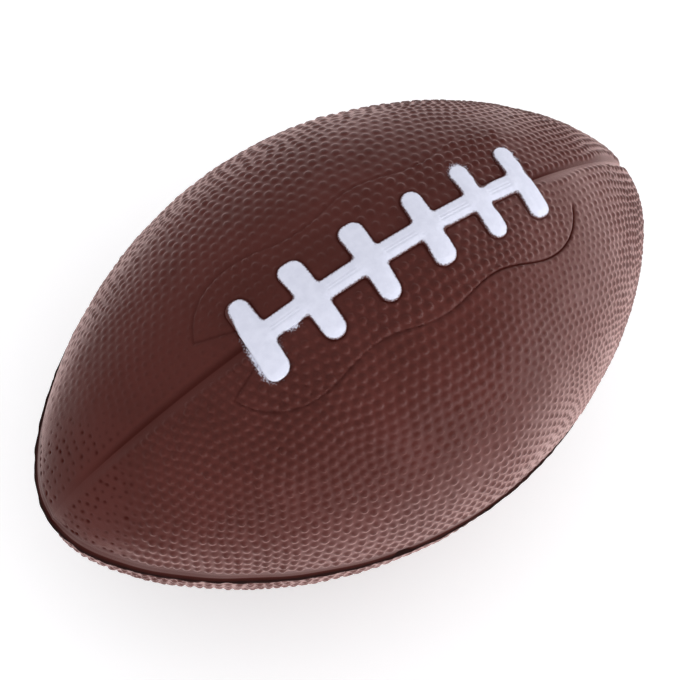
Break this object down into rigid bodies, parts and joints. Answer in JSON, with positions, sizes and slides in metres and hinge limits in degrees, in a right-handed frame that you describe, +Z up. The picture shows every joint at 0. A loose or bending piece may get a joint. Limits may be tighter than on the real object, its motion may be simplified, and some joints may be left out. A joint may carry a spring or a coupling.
{
  "type": "foam football",
  "caption": "Small moulded foam football: pointed ball with a pebbled brown skin in two halves over a soft core, seam channels and a raised white lacing, for throwing, catching and squeezing.",
  "frame": {"origin": "centre of the ball, midway between its tips, on its long axis", "axes": "+X along the ball from tip to tip, +Z up through the middle of the lacing, parting plane at Z = 0"},
  "size_m": [0.1504, 0.0918, 0.0923],
  "materials": {
    "foam": "matt open foam",
    "skin": "pebbled satin skin",
    "flash": "trimmed satin edge",
    "lacing": "satin white paint on moulded relief"
  },
  "bodies": {
    "root": {"foam_core": "foam", "upper_skin": "skin", "lower_skin": "skin", "parting_flash": "flash", "lacing": "lacing"}
  },
  "joints": []
}
